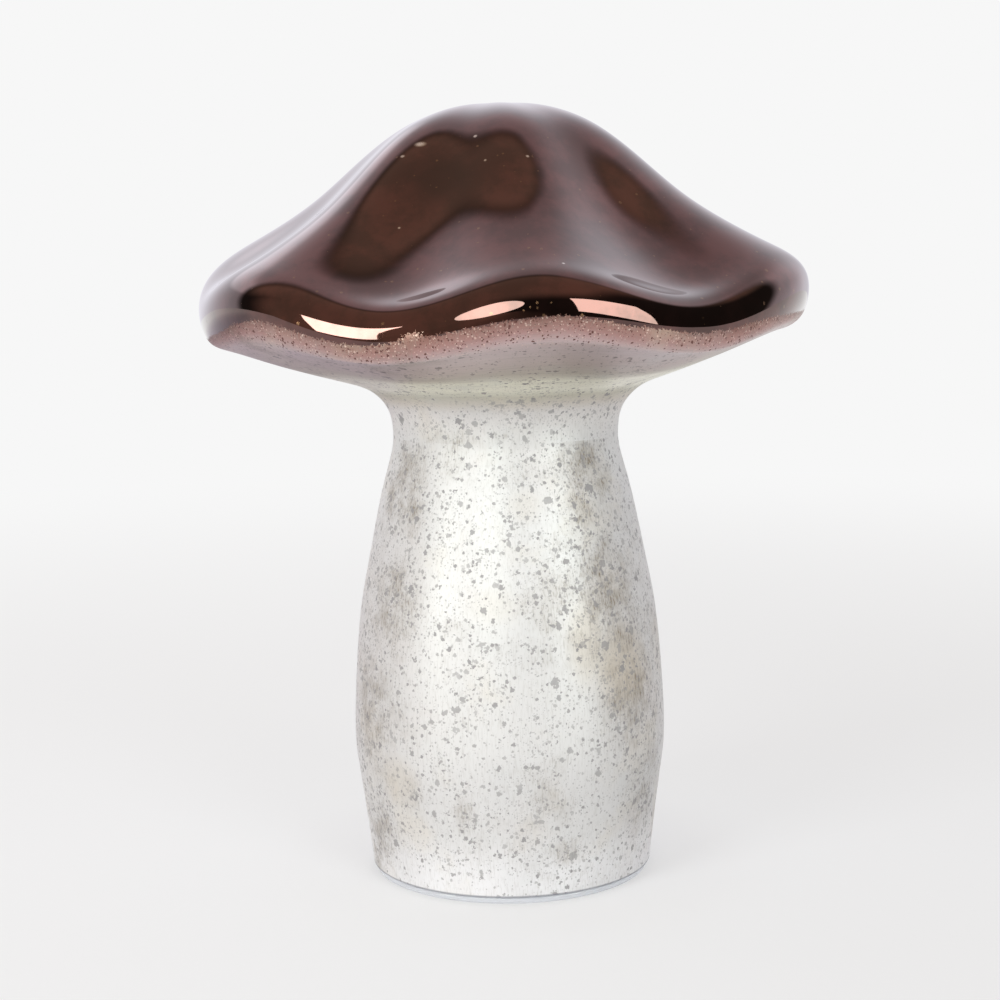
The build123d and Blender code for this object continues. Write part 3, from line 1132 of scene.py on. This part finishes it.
def adhesive_material():
    material, tree, shader = new_material("clear_adhesive")
    cloudy, _ = noise(tree, object_place(tree), ADHESIVE_CLOUDS_PER_METRE, detail=3.0)
    # Near-black tones: clouded adhesive, and painted shade between the plating and the disc
    tree.links.new(mix(tree, cloudy, *ADHESIVE_AND_SHADE_TONES), shader.inputs["Base Color"])
    rough = ramp(tree, cloudy, 0.0, 1.0, *ADHESIVE_ROUGHNESS, eased=False)
    tree.links.new(rough, shader.inputs["Roughness"])
    return material


foot_glass = glass_material()
adhesive = adhesive_material()
print("glass:", len(foot_glass.node_tree.nodes), "nodes, adhesive:", len(adhesive.node_tree.nodes))

# %% [markdown]
# ## The cap
# The two outlines and the wave give the outer skin and, three millimetres in, the inner one, so the
# glass has its real wall and the collar ends in a flat rim.

# %% Make the cap
lean_angle = math.radians(1.3)
lean_start_rise = 7.0 * MM
lean_run = 18.0 * MM

cap_wave = {
    "Outside Levels": CAP_LEVELS,
    "Wave Share": 1.0,
    "First Crest": math.radians(9.1),
    "Drift Bearing": math.radians(-15),
    "Drift Angle": math.radians(3.7),
    "Stronger Bearing": math.radians(23.5),
    "Stronger Share": 0.28,
    "Fuller Side": math.radians(-118),
    "Fuller Share": 0.306,
    "Oval Bearing": math.radians(-7),
    "Oval Share": 0.328,
    "Lean Slope": math.tan(lean_angle),
    "Lean Start": throat_height + lean_start_rise,
    "Lean Run": lean_run,
}
cap = turned_piece("cap", cap_bronze, crest_curve, trough_curve, **cap_wave)
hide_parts("cap_shell")
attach(cap, "root")

# %% [markdown]
# ## The stem
# The stem's outline is closed: up the outside, over the shoulder and the spigot, down the inside
# and across the ground rim of the foot.

# %% Make the stem
spigot_gap = 0.5 * MM
spigot_radius = throat_radius - wall - spigot_gap
spigot_wall = 2.6 * MM
spigot_root = 9.0 * MM

inside = [(r - wall, h) for r, h in stem_outside if h < seam_height - spigot_root][::INSIDE_STEP]
stem_outline = [tuple(p) for p in stem_outside]
stem_outline += [
    (spigot_radius, seam_height),
    (spigot_radius, spigot_top),
    (spigot_radius - spigot_wall, spigot_top),
    (spigot_radius - spigot_wall, seam_height - spigot_root / 3),
]
stem_outline += inside[::-1]
stem_outline.append(stem_outline[0])
stem = turned_piece("stem", stem_silver, stem_outline)
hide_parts("stem_shell")
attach(stem, "root")

# %% [markdown]
# ## The foot disc and the two adhesive rings
# The disc is turned with softened edges, and the rings are turned from small rectangles. The ring
# at the neck is plated over, so it takes the silver of the stem.

# %% Make the disc
arris = 0.4 * MM
ARRIS_STEPS = 4
RING_BEARINGS = 200

disc_outline = [(0, 0), (disc_radius - arris, 0)]
for step in range(1, ARRIS_STEPS + 1):
    turn = math.radians(90 * step / ARRIS_STEPS)
    radius = disc_radius - arris + arris * math.sin(turn)
    disc_outline.append((radius, arris - arris * math.cos(turn)))
for step in range(ARRIS_STEPS + 1):
    turn = math.radians(90 * step / ARRIS_STEPS)
    radius = disc_radius - arris + arris * math.cos(turn)
    disc_outline.append((radius, disc_thickness - arris + arris * math.sin(turn)))
disc_outline.append((0, disc_thickness))
disc = turned_piece("glass_disc", foot_glass, disc_outline, bearings=RING_BEARINGS)
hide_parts("foot_disc")
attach(disc, "root")


# %% Make the rings
def ring_outline(inner, outer, bottom, top):
    """The closed rectangle that a ring is turned from."""
    return [(inner, bottom), (outer, bottom), (outer, top), (inner, top), (inner, bottom)]


foot_bond_setback = 0.5 * MM
foot_ring_inner = foot_radius - wall + foot_bond_setback
foot_ring_outer = (foot_bond_high[0] - foot_bond_low[0]) / 2
foot_ring_shape = ring_outline(foot_ring_inner, foot_ring_outer, foot_bond_low[2], foot_bond_high[2])
foot_ring = turned_piece("foot_ring", adhesive, foot_ring_shape, bearings=RING_BEARINGS)
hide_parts("foot_bond")
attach(foot_ring, "root")

neck_ring_shape = ring_outline(spigot_radius, throat_radius, seam_height, throat_height)
neck_ring = turned_piece("neck_ring", stem_silver, neck_ring_shape)
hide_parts("neck_bond")
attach(neck_ring, "root")

# %% [markdown]
# ## The studio
# A pale table, a white surround and soft boxes beside the camera. A mirror shows its room, so
# the room matters more than the lamps: white behind and at the sides, and a darker studio in
# front, which the bronze shows as dark bands.

# %% Tones of the table and the room
FLOOR_HALF = 3.0
TABLE_EDGE = -0.55
TABLE_EDGE_BLUR = 0.01
TABLE_COLOR = (0.775, 0.80, 0.815, 1)
TABLE_END_COLOR = (0.04, 0.04, 0.04, 1)
BACKDROP_TONE = 0.93
DARK_ROOM = (0.05, 0.045, 0.04, 1)
WARM_ROOM = (0.47, 0.34, 0.26, 1)
BEHIND_LEFT_TINT = (0.55, 0.50, 0.58, 1)
WHITE = (1, 1, 1, 1)

# The share of the even glow that the lens sees near the ornament, and what the contact takes off it
LENS_GLOW = 0.75
CONTACT_SHADE = 0.22
CONTACT_GLOW = 0.06

# Ramps over the table, in metres from the ornament: outwards, then left to right, then to the back
FAR_OFF = (0.05, 0.95)
CONTACT_REACH = (0.036, 0.080, 1.0, 0.0)
TINT_REACH = (1.6, 0.35)
# The table glows less towards the right: painted shade of the light that comes from the left
TABLE_TONE = (-0.15, 0.15, 0.93, 0.88)
TINT_SIDE = (0.15, -0.1)
WARM_SIDE = (0.3, -0.4)
TINT_BACK = (0.0, 0.2)
print("table tone", TABLE_TONE[2:], "from left to right and backdrop tone", BACKDROP_TONE)


# %% The floor's material
def table_light(tree, here, reach, glossy):
    """The even glow of the table: a pale tone for the lens, and the room beyond it for a mirror."""
    x, y, _ = split(tree, here)
    beyond = ramp(tree, y, TABLE_EDGE - TABLE_EDGE_BLUR, TABLE_EDGE + TABLE_EDGE_BLUR, 1.0, 0.0)
    far = ramp(tree, reach, *FAR_OFF)
    close = ramp(tree, reach, *CONTACT_REACH)
    near_tone = plus(tree, ramp(tree, x, *TABLE_TONE), times(tree, close, CONTACT_GLOW))
    tone = mix(tree, far, near_tone, BACKDROP_TONE, kind="FLOAT")
    behind_left = times(tree, ramp(tree, y, *TINT_BACK), ramp(tree, x, *TINT_SIDE))
    behind_left = times(tree, behind_left, ramp(tree, reach, *TINT_REACH))
    table_tint = mix(tree, times(tree, glossy, behind_left), WHITE, BEHIND_LEFT_TINT)
    room = mix(tree, ramp(tree, x, *WARM_SIDE), DARK_ROOM, WARM_ROOM)
    color = mix(tree, times(tree, glossy, beyond), table_tint, room)
    glow = add_node(tree, "ShaderNodeEmission", {"Strength": tone, "Color": color}).outputs[0]
    seen = calc(tree, "MULTIPLY_ADD", far, 1 - LENS_GLOW, LENS_GLOW)
    seen = minus(tree, seen, times(tree, close, CONTACT_SHADE))
    return glow, seen, beyond


def floor_material():
    """A lit pale table, which the lens and the mirror see as nearly white and white far away."""
    material, tree, shader = new_material("pale_table")
    here = object_place(tree)
    light_path = add_node(tree, "ShaderNodeLightPath").outputs
    glossy = light_path["Is Glossy Ray"]
    glow, seen, beyond = table_light(tree, here, length(tree, here), glossy)
    tree.links.new(mix(tree, beyond, TABLE_COLOR, TABLE_END_COLOR), shader.inputs["Base Color"])
    shader.inputs["Roughness"].default_value = 1.0
    shader.inputs["Specular IOR Level"].default_value = 0.0
    by_lens = times(tree, light_path["Is Camera Ray"], seen)
    mirrored = times(tree, glossy, larger(tree, seen, beyond))
    inputs = {0: larger(tree, by_lens, mirrored), 1: shader.outputs[0], 2: glow}
    blend = add_node(tree, "ShaderNodeMixShader", inputs)
    tree.links.new(blend.outputs[0], tree.nodes["Material Output"].inputs["Surface"])
    print("floor material:", len(tree.nodes), "nodes")
    return material


# %% The floor
corners = [(-1, -1), (1, -1), (1, 1), (-1, 1)]
floor_mesh = bpy.data.meshes.new("floor")
floor_mesh.from_pydata([(x * FLOOR_HALF, y * FLOOR_HALF, 0) for x, y in corners], [], [(0, 1, 2, 3)])
floor = bpy.data.objects.new("floor", floor_mesh)
floor_mesh.materials.append(floor_material())
bpy.context.collection.objects.link(floor)
print("floor:", 2 * FLOOR_HALF, "m square")

# %% [markdown]
# ## The surround
# The world is a white surround behind and beside the ornament, a little greyer overhead and at
# the horizon, and a dark room in front with a dim warm ceiling. Where a direction changes from
# one to the other, the bronze shows the edge of a reflection.

# %% The brightness of the surround
SURROUND_TINTS = ((0.95, 0.925, 1.0, 1), (0.93, 0.78, 0.82, 1))
LENS_BACKDROP = (0.93, 0.93, 0.93, 1)

# Ramps by direction: how far upwards or to the right it points, from -1 to 1
OVERHEAD = (0.5, 1.0, 1.0, 0.72)
NEAR_HORIZON = (0.2, 0.5, 0.88, 1.0)
TO_THE_RIGHT = (-0.1, 0.4, 1.0, 0.86)
RIGHT_BACK = (0.35, 0.65, 1.0, 1.35)
LEFT_BACK_SIDE = (-0.2, -0.34)
LEFT_BACK_TOP = (0.74, 0.6, 0.0, 0.5)
LEFT_BACK_FOOT = (0.33, 0.42)


def surround_level(tree, sideways, upward):
    """How bright the surround is in each direction."""
    level = times(tree, ramp(tree, upward, *OVERHEAD), ramp(tree, sideways, *TO_THE_RIGHT))
    level = times(tree, level, ramp(tree, upward, *NEAR_HORIZON))
    left_back = times(tree, ramp(tree, sideways, *LEFT_BACK_SIDE), ramp(tree, upward, *LEFT_BACK_TOP))
    left_back = times(tree, left_back, ramp(tree, upward, *LEFT_BACK_FOOT))
    right_back = ramp(tree, sideways, *RIGHT_BACK)
    return times(tree, level, times(tree, right_back, plus(tree, left_back, 1.0)))


print("surround: from", OVERHEAD[3], "overhead to 1 in the middle")


# %% The room in front
# Ramps by direction: how far upwards, forwards or to the right it points
CEILING_RISE = (0.3, 0.75)
CEILING_FRONT = (-0.32, -0.14, 0.15, 1.0)
CEILING_END = (0.55, 0.78, 1.0, 0.0)
LEFT_GLOW_SIDE = (-0.05, -0.45)
LEFT_GLOW_FRONT = (-0.15, 0.25)
WARMER_TOP = (0.62, 0.88)
ROOM_EDGE = (-0.38, -0.23)
EDGE_BEND = (0.1, 0.4, 0.0, 0.045)


def room_color(tree, sideways, forward, upward):
    """A dark room with a dim warm ceiling and a warm glow on the left."""
    ceiling = times(tree, ramp(tree, upward, *CEILING_RISE), ramp(tree, forward, *CEILING_FRONT))
    ceiling = times(tree, ceiling, ramp(tree, sideways, *CEILING_END))
    left_glow = times(tree, ramp(tree, sideways, *LEFT_GLOW_SIDE), ramp(tree, forward, *LEFT_GLOW_FRONT))
    return mix(tree, larger(tree, ceiling, left_glow), DARK_ROOM, WARM_ROOM)


def build_world():
    """A white surround, and in front of it a dark room with a dim ceiling."""
    world = bpy.data.worlds.new("studio")
    world.use_nodes = True
    bpy.context.scene.world = world
    tree = world.node_tree
    sideways, backward, upward = split(tree, add_node(tree, "ShaderNodeTexCoord").outputs["Generated"])
    forward = times(tree, backward, -1.0)
    tint = mix(tree, ramp(tree, upward, *WARMER_TOP), *SURROUND_TINTS)
    surround = vector_calc(tree, "SCALE", tint, Scale=surround_level(tree, sideways, upward))
    edge_place = minus(tree, forward, ramp(tree, sideways, *EDGE_BEND))
    dark_side = ramp(tree, edge_place, *ROOM_EDGE)
    studio = mix(tree, dark_side, surround, room_color(tree, sideways, forward, upward))
    by_lens = add_node(tree, "ShaderNodeLightPath").outputs["Is Camera Ray"]
    tree.links.new(mix(tree, by_lens, studio, LENS_BACKDROP), tree.nodes["Background"].inputs["Color"])
    tree.nodes["Background"].inputs["Strength"].default_value = 1.0
    print("world:", len(tree.nodes), "nodes")


build_world()

# %% [markdown]
# ## The lamps
# A mirror and a satin surface ask for different lamps. Three soft boxes are seen only in
# reflections, where the bronze shows their shapes, and two key lights only light what scatters.

# %% Soft boxes and key lights
LAMP_DISTANCE = 1.3
LAMP_AIM_HEIGHT = 0.13
MIRRORED_COLOR = (0.93, 1.0, 0.91)
KEY_COLOR = (0.95, 0.98, 1.0)


def soft_box(name, bearing, elevation, width, height, radiance, shape="RECTANGLE"):
    """A flat lamp on a bearing from the front, aimed at the middle of the ornament."""
    lamp = bpy.data.lights.new(name, "AREA")
    lamp.shape = shape
    lamp.size = width
    lamp.size_y = height
    area = width * height * (math.pi / 4 if shape == "ELLIPSE" else 1)
    lamp.energy = radiance * math.pi * area
    made = bpy.data.objects.new(name, lamp)
    bpy.context.collection.objects.link(made)
    turn = Matrix.Rotation(math.radians(bearing), 4, "Z")
    tilt = Matrix.Rotation(math.radians(90 - elevation), 4, "X")
    aim = Matrix.Translation((0, 0, LAMP_AIM_HEIGHT))
    made.matrix_world = aim @ turn @ tilt @ Matrix.Translation((0, 0, LAMP_DISTANCE))
    return made


# Bearing and elevation in degrees, width and height in metres, and how bright the face is
mirrored_boxes = (
    soft_box("soft_box_left", -53, 3, 0.32, 0.72, 11.5),
    soft_box("soft_box_middle", -14, 12, 0.75, 0.64, 7.5, shape="ELLIPSE"),
    soft_box("soft_box_right", 48.6, 9, 0.83, 0.65, 6.2),
)
key_lights = (
    soft_box("key_light_left", -42, 19, 0.5, 0.6, 10.3),
    soft_box("key_light_right", 32, 19, 0.5, 0.6, 7.6),
)
for lamp in mirrored_boxes:
    lamp.visible_diffuse = False
    lamp.data.color = MIRRORED_COLOR
for lamp in key_lights:
    lamp.visible_glossy = False
    lamp.data.color = KEY_COLOR
print("lamps:", len(mirrored_boxes), "for reflections and", len(key_lights), "for scattered light")

# %% [markdown]
# ## The camera
# The camera stands half a metre away at cap height and looks slightly down, as the photographer's
# did. Its place was worked out from the outline of the ornament in the photograph.

# %% Camera
CAMERA_DISTANCE = 0.4949
CAMERA_HEIGHT = 0.15931
CAMERA_PITCH = math.radians(7.117)
CAMERA_ROLL = math.radians(-0.859)
FOCAL_PIXELS = 1895.2
AXIS_PIXEL_X = 506.6
IMAGE_WIDTH = 1000
SENSOR_WIDTH = 36.0

lens = bpy.data.cameras.new("camera")
lens.sensor_width = SENSOR_WIDTH
lens.lens = SENSOR_WIDTH * FOCAL_PIXELS / IMAGE_WIDTH
camera = bpy.data.objects.new("camera", lens)
bpy.context.collection.objects.link(camera)
yaw = math.atan((AXIS_PIXEL_X - IMAGE_WIDTH / 2) / FOCAL_PIXELS)
camera.matrix_world = (
    Matrix.Translation((0, -CAMERA_DISTANCE, CAMERA_HEIGHT))
    @ Matrix.Rotation(yaw, 4, "Z")
    @ Matrix.Rotation(math.radians(90) - CAMERA_PITCH, 4, "X")
    @ Matrix.Rotation(CAMERA_ROLL, 4, "Z")
)
bpy.context.scene.camera = camera
bpy.context.scene.view_settings.view_transform = "Standard"
print("focal length", round(lens.lens, 1), "mm")
